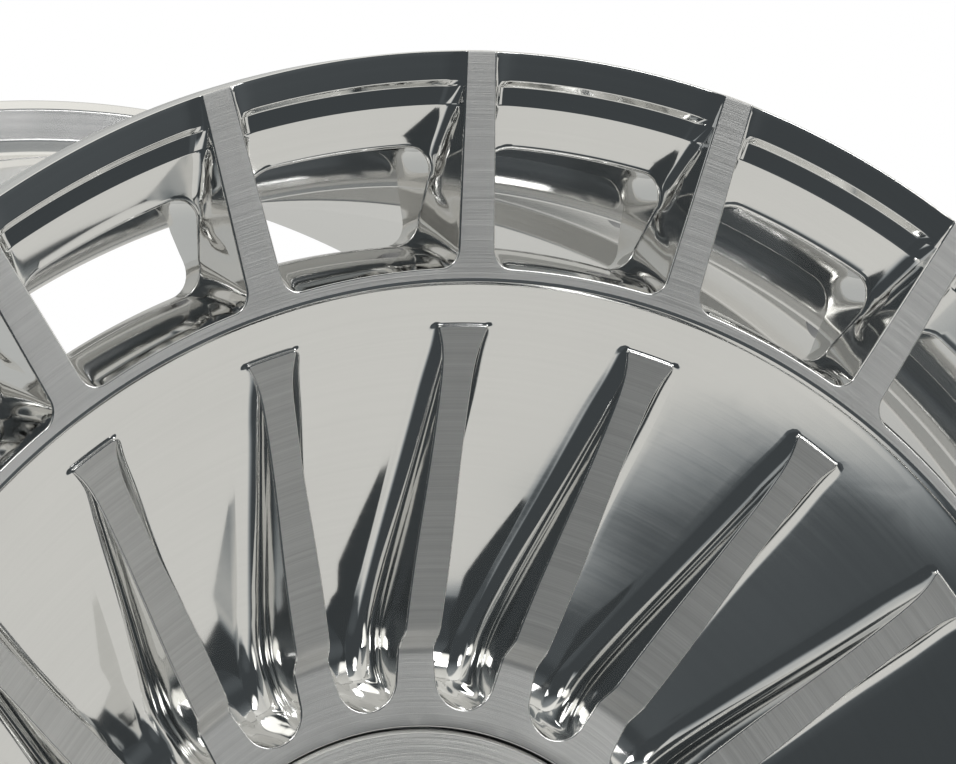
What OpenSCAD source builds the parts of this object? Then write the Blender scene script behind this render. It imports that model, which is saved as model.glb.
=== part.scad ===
// Two-piece forged wheel, 18 x 9.5 J, millimetres.
// The wheel spins about +Y, its front faces -Y and +Z is up.
// The origin is the centre of the rim's width, on the hub bore's axis.

/* [Rim size] */
// Outer radius of both tyre flanges
flange_r = 248.5; // [248:0.1:249]
// Overall width from the front edge to the rear edge
rim_w = 264; // [263:0.5:265]
// Nominal bead seat radius
bead_r = 231; // [230.5:0.1:231.5]
// Thickness of the front tyre flange
front_flange_t = 13.5; // [13:0.1:14]
// Thickness of the rear tyre flange
rear_flange_t = 9.2; // [8.5:0.1:10]

/* [Face] */
// Number of ribs, windows and fins
ribs = 21; // [21:1:21]
// Half width of a rib's front face at the outer edge
rib_w_out = 4.2; // [3.8:0.1:4.6]
// Half width of a rib's front face at the ring
rib_w_in = 5.1; // [4.7:0.1:5.5]
// Half width of a rib at its back, around the window
rib_w_back = 6.6; // [6.3:0.1:7]
// Corner radius of the through windows
window_corner = 7.5; // [5:0.5:9]
// Inner radius of the through windows
window_r_in = 201; // [200.8:0.1:202]
// Outer radius of the through windows
window_r_out = 225.2; // [224.6:0.1:225.3]
// Outer radius of the raised ring
ring_r_out = 195; // [194.5:0.1:195.5]
// Inner radius of the raised ring
ring_r_in = 190.8; // [190.5:0.1:191.2]
// Radius where the fins run out into the dish
fin_tip_r = 180.8; // [180.4:0.1:181]
// Radius of the bottom of each pocket between two fins
pocket_r_in = 85.7; // [85.4:0.1:87]

/* [Hub] */
// Radius of the hub bore
hub_bore_r = 36.3; // [30:0.1:37]
// Distance from the rim's centre plane to the mounting face
offset_et = 35; // [35:0.5:36]
// Diameter of the lug circle
lug_pcd = 120; // [114:0.1:120]
// Number of lugs
lug_count = 5; // [5:1:5]
// Radius of the stud hole
stud_hole_r = 7.75; // [7:0.05:8]
// Radius of the centre cap
cap_r = 80; // [79.5:0.1:80.2]

/* [Barrel joint] */
// Radius of the barrel bolt circle
bolt_circle_r = 221.3; // [221.2:0.1:221.5]
// Radius of a barrel bolt's shank
bolt_r = 2.95; // [2.8:0.05:2.95]
// Inner radius of the barrel's bolting flange
joint_r_in = 216.2; // [216:0.1:216.3]

/* [Valve] */
// Distance of the valve in front of the rim's centre plane
valve_y = 64; // [62:0.5:66]
// Radius of the valve hole
valve_hole_r = 4.15; // [4.1:0.05:4.3]
// Travel of the valve core's pin
pin_travel = 1.2; // [0.8:0.1:1.3]

/* [Hidden] */

big_fn = 180;
pitch = 360 / ribs;
y_front = -rim_w / 2;
y_rear = rim_w / 2;
y_joint = -98.5;              // plane where the face meets the barrel
y_pad = -offset_et;           // mounting face against the hub
y_hub = -94;                  // turned hub face around the cap
y_seat = y_hub + 6.2;         // step that the cap's edge sits above
y_lug = y_pad - 17;           // floor of the lug recess
lug_recess_r = 76;
lug_seat_r = 12.4;            // outside of a lug nut seat
cap_gap = 0.6;
insert_depth = 9;
joint_t = 7;                  // thickness of the bolting flange
y_joint_back = y_joint + joint_t;
land_out = 224.5;             // cylindrical land that carries the valve
land_in = 220;
well_out = 218.2;             // drop centre
well_in = 214.2;
wall_in = 225.5;              // inside of the rear half of the barrel

// Half width of a fin's turned top at a radius
fin_w = [[80, 6.4], [92, 5.7], [99, 5.15], [112, 5.15], [124, 5.2], [137, 4.75],
         [149, 4.35], [162, 4.35], [171, 4.7], [176, 5.6], [180.8, 7.4], [184, 8.6]];
rib_w = [[190, rib_w_in], [flange_r * 0.8, rib_w_in], [flange_r, rib_w_out], [256, rib_w_out]];
back_w = [[190, rib_w_back], [256, rib_w_back]];

// Turned surface of the hub face and the fins
fin_slope = 0.305;
function fin_top(r) = -98.3 - (r - 105.2) * fin_slope;
// Turned surface of the ring and the ribs
function rib_top(r) = y_front + (flange_r - r) * 0.071;

// Polished floor between the fins, from the hub outwards
floor_line = [[80, -99], [85.5, -91.5], [88, -86.6], [91.5, -82.4], [96, -79.8], [101, -78.9],
              [107, -79.9], [114.3, -83.1], [124.3, -88.4], [136.7, -95.2], [149.1, -102],
              [161.5, -109], [174, -116.6], [fin_tip_r, fin_top(fin_tip_r)], [186, -128]];
// Stepped floor between the ribs, from the ring outwards
lip_line = [[188, -126], [197.5, -122.5], [200.6, -110], [201.3, -108], [225, -108], [225.4, -119.3],
            [226.6, -120.7], [235.4, -126.9], [240, -128.2], [241.3, -130.3],
            [flange_r + 1.5, y_front + 0.28], [262, y_front + 0.1]];

function pol(r, a) = [r * cos(a), r * sin(a)];

// Side of a gap between two ribs as [radius, inset] pairs: rounded start,
// intermediate radii, rounded end
function side(r1, r2, c1, c2, mids, n = 5) = concat(
    c1 > 0 ? [for (i = [0 : n]) let (t = 90 * i / n) [r1 + c1 * (1 - cos(t)), c1 * (1 - sin(t))]] : [[r1, 0]],
    [for (m = mids) [m, 0]],
    c2 > 0 ? [for (i = [n : -1 : 0]) let (t = 90 * i / n) [r2 - c2 * (1 - cos(t)), c2 * (1 - sin(t))]] : [[r2, 0]]);
function half_angle(p, w) = pitch / 2 - asin((lookup(p[0], w) + p[1]) / p[0]);
function arc(r, a0, a1, n) = n < 2 ? [] : [for (i = [1 : n - 1]) pol(r, a0 + (a1 - a0) * i / n)];

// Outline of the gap between two ribs or fins, centred on angle a
module gap(a, r1, r2, c1, c2, w, mids, n = 5, arcs = 4) {
    s = side(r1, r2, c1, c2, mids, n);
    m = len(s) - 1;
    h1 = half_angle(s[0], w);
    h2 = half_angle(s[m], w);
    polygon(concat(
        [for (p = s) pol(p[0], a + half_angle(p, w))],
        arc(r2, a + h2, a - h2, arcs),
        [for (i = [m : -1 : 0]) pol(s[i][0], a - half_angle(s[i], w))],
        h1 > 1 ? arc(r1, a - h1, a + h1, arcs) : []));
}

// Turns a revolved shape's axis from Z to the wheel's axis
module on_axle() { rotate([-90, 0, 0]) children(); }
module turned(points) { on_axle() rotate_extrude($fn = big_fn) polygon(points); }
// Repeats children around the axle, with the first at the top
module around(n, r) { on_axle() for (i = [0 : n - 1]) rotate([0, 0, -90 + i * 360 / n]) translate([r, 0, 0]) children(); }
// Places children on the valve's axis, at the bottom of the rim
module at_valve() { translate([0, -valve_y, 0]) children(); }
module ring_on_axle(r, cs, y, fn = 24) { on_axle() rotate_extrude($fn = big_fn) translate([r, y]) circle(r = cs, $fn = fn); }

module face_blank() {
    turned([
        [hub_bore_r, y_lug], [lug_recess_r, y_lug], [lug_recess_r, y_seat],
        [cap_r + cap_gap, y_seat], [cap_r + cap_gap, y_hub + 0.5], [cap_r + cap_gap + 0.5, y_hub],
        [99.6, y_hub], [101.2, y_hub - 0.6], [103.8, -97.6], [105.2, fin_top(105.2)], [fin_tip_r, fin_top(fin_tip_r)],
        [ring_r_in - 0.6, -125.9], [ring_r_in, -126.4], [ring_r_in, -127.4], [ring_r_in + 0.9, rib_top(ring_r_in + 0.9)],
        [flange_r - 0.8, rib_top(flange_r - 0.8)], [flange_r, y_front + 0.7],
        [flange_r, y_front + front_flange_t - 2.6], [flange_r - 2.4, y_front + front_flange_t],
        [237.4, y_front + front_flange_t], [233.4, y_front + front_flange_t + 1.6],
        [bead_r + 0.8, y_front + front_flange_t + 5], [bead_r - 0.5, y_joint],
        [216, y_joint], [210, -100.2], [198.4, -104.6], [193, -106.5], [187, -106.8], [174, -105],
        [149, -91.8], [124, -78.2], [107, -68.6], [97, -60], [86, -45], [82.5, y_pad - 1.5], [81, y_pad],
        [hub_bore_r + 1, y_pad], [hub_bore_r, y_pad - 1]]);
}

module fin_pockets() {
    intersection() {
        on_axle() translate([0, 0, -135]) linear_extrude(height = 70)
            for (k = [0 : ribs - 1])
                gap(-90 + pitch * (k + 0.5), pocket_r_in, fin_tip_r + 2, 6.6, 0, fin_w, [99, 112, 124, 137, 149, 162, 171, 176, fin_tip_r], 6, 3);
        turned(concat(floor_line, [[186, -140], [80, -140]]));
    }
}

module rib_pockets() {
    intersection() {
        on_axle() translate([0, 0, -140]) linear_extrude(height = 60)
            for (k = [0 : ribs - 1])
                gap(-90 + pitch * (k + 0.5), ring_r_out, flange_r + 6, 5, 0, rib_w, [], 4, 6);
        turned(concat(lip_line, [[262, -145], [188, -145]]));
    }
}

module windows() {
    on_axle() translate([0, 0, -130]) linear_extrude(height = 60)
        for (k = [0 : ribs - 1])
            gap(-90 + pitch * (k + 0.5), window_r_in, window_r_out, window_corner, window_corner, back_w, [], 4, 6);
}

module forged_face() {
    color("silver") difference() {
        face_blank();
        fin_pockets();
        rib_pockets();
        windows();
        around(lug_count, lug_pcd / 2) {
            translate([0, 0, y_lug - 1]) cylinder(r = lug_seat_r, h = 12, $fn = 48);
            translate([0, 0, y_lug]) cylinder(r = stud_hole_r, h = 30, $fn = 48);
        }
        around(ribs, bolt_circle_r) translate([0, 0, y_joint - insert_depth]) cylinder(r = 4.5, h = insert_depth + 1, $fn = 32);
    }
}

module inner_barrel() {
    color("gainsboro") difference() {
        turned([
            [joint_r_in, y_joint], [bead_r - 0.5, y_joint], [bead_r + 0.9, y_joint + 2.5], [bead_r + 1, y_joint + 4.5],
            [bead_r, y_joint + 8], [bead_r - 0.6, -86], [land_out, -76], [land_out, -54], [well_out, -46], [well_out, -8],
            [229.6, 8], [229.6, 92], [231.7, 95.5], [232.1, 98], [231.2, 100.5], [bead_r - 0.4, 102],
            [bead_r + 0.8, y_rear - rear_flange_t - 5], [233.4, y_rear - rear_flange_t - 1.6], [237.4, y_rear - rear_flange_t],
            [flange_r - 2.4, y_rear - rear_flange_t], [flange_r, y_rear - rear_flange_t + 2.4], [flange_r, y_rear - 2],
            [flange_r - 2, y_rear], [236, y_rear - 0.6], [229, y_rear - 4], [226.2, y_rear - 9], [wall_in, y_rear - 15],
            [wall_in, 7.5], [well_in, -8.5], [well_in, -45.5], [land_in, -53], [land_in, -75.5], [227, -83],
            [227, y_joint_back], [joint_r_in, y_joint_back]]);
        // groove of the joint seal
        turned([[226.6, y_joint - 1], [229.4, y_joint - 1], [229.4, y_joint + 2], [226.6, y_joint + 2]]);
        around(ribs, bolt_circle_r) translate([0, 0, y_joint - 1]) cylinder(r = 3.3, h = joint_t + 2, $fn = 32);
        // valve hole with a flat seat on both sides of the wall
        at_valve() {
            translate([0, 0, -230]) cylinder(r = valve_hole_r, h = 14, $fn = 48);
            translate([0, 0, -232]) cylinder(r = 8.6, h = 232 - 224.2, $fn = 48);
            translate([0, 0, -220.2]) cylinder(r = 8.6, h = 5, $fn = 48);
        }
    }
}

module barrel_bolts() {
    color("dimgray") around(ribs, bolt_circle_r) difference() {
        union() {
            translate([0, 0, y_joint - insert_depth + 1]) cylinder(r = bolt_r, h = insert_depth - 1 + joint_t + 2, $fn = 32);
            translate([0, 0, y_joint_back + 1.2]) rotate_extrude($fn = 32)
                polygon([[0, 0], [4.9, 0], [4.9, 5.4], [4.3, 6], [0, 6]]);
        }
        translate([0, 0, y_joint_back + 1.2 + 3]) cylinder(r = 2.9, h = 4, $fn = 6);
    }
}

module barrel_bolt_washers() {
    color("silver") around(ribs, bolt_circle_r) translate([0, 0, y_joint_back]) difference() {
        cylinder(r = 5, h = 1.2, $fn = 40);
        translate([0, 0, -1]) cylinder(r = 3.2, h = 4, $fn = 40);
    }
}

module thread_inserts() {
    color("slategray") around(ribs, bolt_circle_r) translate([0, 0, y_joint - insert_depth]) difference() {
        cylinder(r = 4.5, h = insert_depth, $fn = 32);
        translate([0, 0, -1]) cylinder(r = 3.0, h = insert_depth + 2, $fn = 32);
    }
}

module barrel_seal() { color("black") ring_on_axle(228, 1, y_joint + 1); }

module lug_seat_inserts() {
    color("slategray") around(lug_count, lug_pcd / 2) translate([0, 0, y_lug]) rotate_extrude($fn = 48)
        polygon([[stud_hole_r + 0.05, 5.5], [11.2, -0.5], [lug_seat_r, -0.5], [lug_seat_r, 11], [stud_hole_r + 0.05, 11]]);
}

module centre_cap() {
    color("lightgray") difference() {
        turned([
            [0, y_hub + 0.1], [cap_r - 0.9, y_hub + 0.1], [cap_r, y_hub + 1], [cap_r, y_seat - 0.3],
            [75.6, y_seat - 0.3], [75.6, -74.6], [75, -74], [71.5, -74], [71, -74.5], [71, y_seat + 1.1], [69.6, y_seat - 0.3],
            [30, y_seat - 0.3], [28, y_seat + 1.3], [24, y_seat + 1.3], [22, y_seat - 0.3], [0, y_seat - 0.3]]);
        turned([[73.8, -84.3], [78, -84.3], [78, -81.7], [73.8, -81.7]]);
        turned([[73.9, -79.1], [78, -79.1], [78, -76.9], [73.9, -76.9]]);
    }
}

module cap_seal_ring() { color("black") ring_on_axle(74.82, 1, -83); }

// Open spring wire ring with a gap at the bottom
module cap_spring_ring() {
    color("gray") difference() {
        ring_on_axle(74.85, 0.9, -78, 20);
        translate([-4, -82, -80]) cube([8, 8, 10]);
    }
}

module valve_stem() {
    color("silver") at_valve() translate([0, 0, 0]) difference() {
        rotate_extrude($fn = 48) polygon([
            [0, -229], [6.8, -229], [7.8, -228.2], [7.8, -226], [4, -226], [4, -196.6], [3.85, -196],
            [3.85, -186.5], [3.4, -186], [0, -186]]);
        translate([0, 0, -230]) cylinder(r = 1.6, h = 50, $fn = 32);
        translate([0, 0, -206]) cylinder(r = 2.65, h = 30, $fn = 32);
    }
}

module tube(r_out, r_in, z0, z1, fn = 40) {
    translate([0, 0, z0]) difference() {
        cylinder(r = r_out, h = z1 - z0, $fn = fn);
        translate([0, 0, -1]) cylinder(r = r_in, h = z1 - z0 + 2, $fn = fn);
    }
}

module valve_grommet() { color("black") at_valve() tube(7.5, 4.05, -226, -224.2); }
module valve_washer() { color("silver") at_valve() tube(7.5, 4.1, -220.2, -219.2); }

module valve_nut() {
    color("silver") at_valve() translate([0, 0, -219.2]) difference() {
        intersection() {
            cylinder(r = 6.93, h = 5, $fn = 6);
            rotate_extrude($fn = 48) polygon([[0, 0], [7.2, 0], [7.2, 4.3], [6.1, 5], [0, 5]]);
        }
        translate([0, 0, -1]) cylinder(r = 4.05, h = 8, $fn = 48);
    }
}

module valve_core_body() {
    color("goldenrod") at_valve() difference() {
        tube(2.6, 1.0, -194, -187, 32);
        translate([-3, -0.5, -188.4]) cube([1.9, 1, 2]);
        translate([1.1, -0.5, -188.4]) cube([1.9, 1, 2]);
    }
}
module valve_core_gasket() { color("ivory") at_valve() tube(2.6, 1.3, -196, -194, 32); }

module valve_core_pin() {
    color("goldenrod") at_valve() rotate_extrude($fn = 32) polygon([
        [0, -204.2], [0.55, -204.2], [0.55, -187.4], [0.9, -187.2], [0.9, -186.6], [0, -186.6]]);
}

module valve_core_cup() { color("black") at_valve() tube(2.2, 0.55, -198.3, -196.05, 32); }

// Coil spring between the cup and the shoulder in the stem
spring_r = 1.95;
spring_wire = 0.28;
spring_turns = 5;
spring_steps = 16;
spring_sides = 8;
module valve_core_spring() {
    n = spring_turns * spring_steps;
    z0 = -206 + spring_wire;
    z1 = -198.3 - spring_wire;
    pts = [for (i = [0 : n]) for (j = [0 : spring_sides - 1])
        let (a = 360 * i / spring_steps, b = 360 * j / spring_sides, r = spring_r + spring_wire * cos(b))
        [r * cos(a), r * sin(a), z0 + (z1 - z0) * i / n + spring_wire * sin(b)]];
    sides = [for (i = [0 : n - 1]) for (j = [0 : spring_sides - 1])
        let (k = (j + 1) % spring_sides)
        [i * spring_sides + j, i * spring_sides + k, (i + 1) * spring_sides + k, (i + 1) * spring_sides + j]];
    color("gray") at_valve() polyhedron(points = pts, faces = concat(sides,
        [[for (j = [spring_sides - 1 : -1 : 0]) j]], [[for (j = [0 : spring_sides - 1]) n * spring_sides + j]]));
}

module valve_cap() {
    color("darkgray") at_valve() difference() {
        union() {
            rotate_extrude($fn = 48) polygon([[0, -197.4], [4.7, -197.4], [5, -197], [5, -184.2], [4, -182.8], [0, -182.8]]);
            for (i = [0 : 11]) rotate([0, 0, i * 30]) translate([5, 0, -196.4]) cylinder(r = 0.45, h = 9, $fn = 16);
        }
        translate([0, 0, -198]) cylinder(r = 4.06, h = 2.1, $fn = 48);
        translate([0, 0, -196]) cylinder(r = 3.93, h = 11.1, $fn = 48);
    }
}
module valve_cap_seal() { color("black") at_valve() tube(3.9, 2, -185.85, -184.9, 32); }

forged_face();
inner_barrel();
barrel_bolts();
barrel_bolt_washers();
thread_inserts();
barrel_seal();
lug_seat_inserts();
centre_cap();
cap_seal_ring();
cap_spring_ring();
valve_stem();
valve_grommet();
valve_washer();
valve_nut();
valve_core_body();
valve_core_gasket();
valve_core_pin();
valve_core_cup();
valve_core_spring();
valve_cap();
valve_cap_seal();
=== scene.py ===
import math

import bmesh
import bpy
import numpy as np
from mathutils import Matrix, Vector, geometry


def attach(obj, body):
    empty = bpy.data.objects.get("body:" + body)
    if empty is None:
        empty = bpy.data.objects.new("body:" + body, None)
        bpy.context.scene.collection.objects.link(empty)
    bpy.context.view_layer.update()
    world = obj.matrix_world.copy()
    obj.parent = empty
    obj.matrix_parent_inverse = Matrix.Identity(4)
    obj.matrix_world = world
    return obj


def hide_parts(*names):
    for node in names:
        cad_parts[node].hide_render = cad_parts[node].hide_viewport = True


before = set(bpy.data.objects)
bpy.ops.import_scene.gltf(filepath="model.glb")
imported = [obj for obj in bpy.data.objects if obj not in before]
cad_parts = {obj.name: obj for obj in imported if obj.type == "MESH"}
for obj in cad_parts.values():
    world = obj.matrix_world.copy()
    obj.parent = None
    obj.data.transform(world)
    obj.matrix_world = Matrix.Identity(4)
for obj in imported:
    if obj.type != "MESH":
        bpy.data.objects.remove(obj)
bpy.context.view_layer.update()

N = 21                      # ribs, fins, windows
H = math.pi / N             # half of one pitch
MM = 0.001
RIM = 248.5                 # outer radius of the flange, mm


# ------------------------------------------------------------------ helpers
def spline(points):
    """Natural cubic spline through (x, y) points."""
    x = np.array([p[0] for p in points], float)
    y = np.array([p[1] for p in points], float)
    n = len(x)
    h = np.diff(x)
    a = np.zeros((n, n))
    b = np.zeros(n)
    a[0, 0] = a[-1, -1] = 1
    for i in range(1, n - 1):
        a[i, i - 1], a[i, i], a[i, i + 1] = h[i - 1], 2 * (h[i - 1] + h[i]), h[i]
        b[i] = 6 * ((y[i + 1] - y[i]) / h[i] - (y[i] - y[i - 1]) / h[i - 1])
    m = np.linalg.solve(a, b)

    def f(t):
        t = np.clip(np.asarray(t, float), x[0], x[-1])
        i = np.clip(np.searchsorted(x, t, side="right") - 1, 0, n - 2)
        d = t - x[i]
        return (y[i] + d * ((y[i + 1] - y[i]) / h[i] - h[i] * (2 * m[i] + m[i + 1]) / 6)
                + d * d * m[i] / 2 + d ** 3 * (m[i + 1] - m[i]) / (6 * h[i]))
    return f


def rounded(points, radius=0.5, n=3, closed=False):
    """Polyline with its corners rounded. A point may carry its own radius as a third number."""
    out = []
    m = len(points)
    for i, p in enumerate(points):
        r = p[2] if len(p) > 2 else radius
        if (not closed and i in (0, m - 1)) or r <= 0:
            out.append((p[0], p[1]))
            continue
        a, b = np.array(points[i - 1][:2], float), np.array(points[(i + 1) % m][:2], float)
        c = np.array(p[:2], float)
        u, v = a - c, b - c
        lu, lv = np.hypot(*u), np.hypot(*v)
        u, v = u / lu, v / lv
        cosang = float(np.clip(u @ v, -1, 1))
        half = math.acos(cosang) / 2
        if half > math.radians(88.5) or half < 1e-3:
            out.append((p[0], p[1]))
            continue
        t = min(r / math.tan(half), 0.45 * lu, 0.45 * lv)
        rr = t * math.tan(half)
        centre = c + (u + v) / np.hypot(*(u + v)) * rr / math.sin(half)
        p0, p1 = c + u * t, c + v * t
        a0 = math.atan2(*(p0 - centre)[::-1])
        a1 = math.atan2(*(p1 - centre)[::-1])
        da = (a1 - a0 + math.pi) % (2 * math.pi) - math.pi
        for j in range(n + 1):
            th = a0 + da * j / n
            out.append((centre[0] + rr * math.cos(th), centre[1] + rr * math.sin(th)))
    return out


def weighted_normals(mesh):
    """Vertex normals weighted by face area, so that flats stay flat and only the rounded edges turn the light."""
    nv = len(mesh.vertices)
    co = np.empty(nv * 3)
    mesh.vertices.foreach_get("co", co)
    co = co.reshape(-1, 3)
    mesh.calc_loop_triangles()
    tri = np.empty(len(mesh.loop_triangles) * 3, dtype=np.int32)
    mesh.loop_triangles.foreach_get("vertices", tri)
    tri = tri.reshape(-1, 3)
    fn = np.cross(co[tri[:, 1]] - co[tri[:, 0]], co[tri[:, 2]] - co[tri[:, 0]])
    nrm = np.zeros((nv, 3))
    for k in range(3):
        np.add.at(nrm, tri[:, k], fn)
    ln = np.linalg.norm(nrm, axis=1)
    nrm[ln > 0] /= ln[ln > 0][:, None]
    mesh.polygons.foreach_set("use_smooth", np.ones(len(mesh.polygons), dtype=bool))
    mesh.normals_split_custom_set_from_vertices([tuple(x) for x in nrm])


def add_object(name, verts, faces, mats=None, materials=(), weld=2e-6, smooth=True, angle=None):
    mesh = bpy.data.meshes.new(name)
    mesh.from_pydata([tuple(v) for v in verts], [], [tuple(f) for f in faces])
    if mats is not None:
        mesh.polygons.foreach_set("material_index", np.array(mats, dtype=np.int32))
    bm = bmesh.new()
    bm.from_mesh(mesh)
    bmesh.ops.remove_doubles(bm, verts=bm.verts, dist=weld)
    bmesh.ops.dissolve_degenerate(bm, edges=bm.edges, dist=weld)
    bmesh.ops.recalc_face_normals(bm, faces=bm.faces)
    bm.to_mesh(mesh)
    bm.free()
    for m in materials:
        mesh.materials.append(m)
    if smooth and angle is None:
        weighted_normals(mesh)
    elif angle is not None:
        mesh.polygons.foreach_set("use_smooth", np.ones(len(mesh.polygons), dtype=bool))
        mesh.set_sharp_from_angle(angle=math.radians(angle))
    obj = bpy.data.objects.new(name, mesh)
    bpy.context.scene.collection.objects.link(obj)
    return obj


def turn(profile, n, closed=True, axis="y", centre=(0.0, 0.0, 0.0), phase=0.0):
    """Vertices and faces of a profile of (radius, height) in mm turned about an axis."""
    verts, faces = [], []
    m = len(profile)
    for i in range(n):
        a = 2 * math.pi * i / n + phase
        for r, y in profile:
            if axis == "y":
                p = (r * math.sin(a), y, r * math.cos(a))
            else:
                p = (r * math.sin(a), r * math.cos(a), y)
            verts.append(((p[0] + centre[0]) * MM, (p[1] + centre[1]) * MM, (p[2] + centre[2]) * MM))
    last = m if closed else m - 1
    for i in range(n):
        k = (i + 1) % n
        for j in range(last):
            q = (j + 1) % m
            faces.append((i * m + j, i * m + q, k * m + q, k * m + j))
    return verts, faces


class Batch:
    """Collects parts of one piece."""

    def __init__(self):
        self.v, self.f, self.m = [], [], []

    def add(self, verts, faces, mat=0):
        base = len(self.v)
        self.v.extend(verts)
        self.f.extend([tuple(i + base for i in f) for f in faces])
        self.m.extend([mat] * len(faces))


# ------------------------------------------------------------------ materials
class Nodes:
    def __init__(self, mat):
        self.t = mat.node_tree
        self.n = mat.node_tree.nodes
        self.bsdf = self.n.get("Principled BSDF")

    def new(self, kind, **settings):
        node = self.n.new(kind)
        for k, v in settings.items():
            if k.startswith("in_"):
                node.inputs[k[3:].replace("_", " ")].default_value = v
            else:
                setattr(node, k, v)
        return node

    def link(self, a, b):
        self.t.links.new(a, b)

    def math(self, op, a, b=None, c=None, clamp=False):
        node = self.n.new("ShaderNodeMath")
        node.operation = op
        node.use_clamp = clamp
        for i, x in enumerate((a, b, c)):
            if x is None:
                continue
            if isinstance(x, (int, float)):
                node.inputs[i].default_value = x
            else:
                self.link(x, node.inputs[i])
        return node.outputs[0]

    def noise(self, vec, scale, detail=3.0, rough=0.55):
        node = self.new("ShaderNodeTexNoise")
        node.inputs["Scale"].default_value = scale
        node.inputs["Detail"].default_value = detail
        node.inputs["Roughness"].default_value = rough
        if vec is not None:
            self.link(vec, node.inputs["Vector"])
        return node.outputs["Fac"]

    def ramp(self, fac, stops):
        node = self.n.new("ShaderNodeValToRGB")
        el = node.color_ramp.elements
        while len(el) > 1:
            el.remove(el[-1])
        el[0].position, el[0].color = stops[0][0], (*stops[0][1], 1)
        for pos, col in stops[1:]:
            e = el.new(pos)
            e.color = (*col, 1)
        self.link(fac, node.inputs[0])
        return node.outputs[0]

    def span(self, fac, lo, hi, a=0.0, b=1.0):
        node = self.n.new("ShaderNodeMapRange")
        node.inputs[1].default_value, node.inputs[2].default_value = a, b
        node.inputs[3].default_value, node.inputs[4].default_value = lo, hi
        self.link(fac, node.inputs[0])
        return node.outputs[0]


def material(name, metallic, **sockets):
    mat = bpy.data.materials.new(name)
    mat.use_nodes = True
    g = Nodes(mat)
    g.bsdf.inputs["Metallic"].default_value = metallic
    for k, v in sockets.items():
        g.bsdf.inputs[k.replace("_", " ")].default_value = v
    return mat, g


def axle_coords(g):
    """Object position, its x, y and z, and the radius from the axle, for turned surfaces."""
    co = g.new("ShaderNodeTexCoord").outputs["Object"]
    sep = g.new("ShaderNodeSeparateXYZ")
    g.link(co, sep.inputs[0])
    x, y, z = sep.outputs
    r = g.math("SQRT", g.math("ADD", g.math("MULTIPLY", x, x), g.math("MULTIPLY", z, z)))
    return co, x, y, z, r


def combine(g, x, y, z):
    node = g.new("ShaderNodeCombineXYZ")
    for i, s in enumerate((x, y, z)):
        if isinstance(s, (int, float)):
            node.inputs[i].default_value = s
        else:
            g.link(s, node.inputs[i])
    return node.outputs[0]


def bump(g, height, strength, distance):
    node = g.new("ShaderNodeBump")
    node.inputs["Strength"].default_value = strength
    node.inputs["Distance"].default_value = distance
    g.link(height, node.inputs["Height"])
    g.link(node.outputs[0], g.bsdf.inputs["Normal"])


def polished_aluminium(name, lo=0.05, hi=0.12, tone=(0.80, 0.80, 0.79)):
    """Mirror polish with a faint haze, wipe marks and a few very fine turning lines."""
    mat, g = material(name, 1.0)
    co, x, y, z, r = axle_coords(g)
    haze = g.noise(co, 24.0, 4.0)
    wipe = g.noise(combine(g, g.math("MULTIPLY", r, 900.0), g.math("MULTIPLY", y, 60.0), g.math("MULTIPLY", x, 6.0)), 1.0, 2.0)
    mix = g.math("ADD", g.math("MULTIPLY", haze, 0.6), g.math("MULTIPLY", wipe, 0.4))
    g.link(g.span(mix, lo, hi, 0.3, 0.7), g.bsdf.inputs["Roughness"])
    g.link(g.ramp(mix, [(0.25, tuple(c * 0.96 for c in tone)), (0.75, tuple(min(1, c * 1.03) for c in tone))]), g.bsdf.inputs["Base Color"])
    bump(g, g.math("ADD", g.math("MULTIPLY", wipe, 0.12), g.noise(co, 70.0, 2.0)), 0.02, 0.0006)
    return mat


def turned_aluminium(name, tone=(0.86, 0.855, 0.84), lo=0.42, hi=0.56, lines=5200.0, strength=0.22):
    """Lathe-turned and brushed face: concentric lines, with light and dark bands of tool marks."""
    mat, g = material(name, 1.0, Anisotropic=0.55)
    co, x, y, z, r = axle_coords(g)
    fine = g.noise(combine(g, g.math("MULTIPLY", r, lines), g.math("MULTIPLY", x, 9.0), g.math("MULTIPLY", z, 9.0)), 1.0, 3.0, 0.7)
    wide = g.noise(combine(g, g.math("MULTIPLY", r, lines * 0.16), g.math("MULTIPLY", x, 2.0), g.math("MULTIPLY", z, 2.0)), 1.0, 2.0, 0.6)
    patch = g.noise(co, 16.0, 3.0)
    both = g.math("ADD", g.math("MULTIPLY", fine, 0.6), g.math("MULTIPLY", wide, 0.4))
    g.link(g.span(g.math("ADD", g.math("MULTIPLY", both, 0.7), g.math("MULTIPLY", patch, 0.3)), lo, hi, 0.3, 0.7), g.bsdf.inputs["Roughness"])
    g.link(g.ramp(both, [(0.28, tuple(c * 0.84 for c in tone)), (0.72, tuple(min(1, c * 1.12) for c in tone))]), g.bsdf.inputs["Base Color"])
    tan = g.new("ShaderNodeTangent")
    tan.direction_type = "RADIAL"
    tan.axis = "Y"
    g.link(tan.outputs[0], g.bsdf.inputs["Tangent"])
    bump(g, both, strength, 0.0004)
    return mat


def plain_metal(name, tone, lo, hi, scale=90.0, strength=0.08, metallic=1.0):
    mat, g = material(name, metallic)
    co = g.new("ShaderNodeTexCoord").outputs["Object"]
    a = g.noise(co, scale, 4.0, 0.6)
    b = g.noise(co, scale * 7, 2.0)
    g.link(g.span(a, lo, hi, 0.3, 0.7), g.bsdf.inputs["Roughness"])
    g.link(g.ramp(a, [(0.3, tuple(c * 0.85 for c in tone)), (0.7, tuple(min(1, c * 1.1) for c in tone))]), g.bsdf.inputs["Base Color"])
    bump(g, g.math("ADD", a, g.math("MULTIPLY", b, 0.5)), strength, 0.0004)
    return mat


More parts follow.
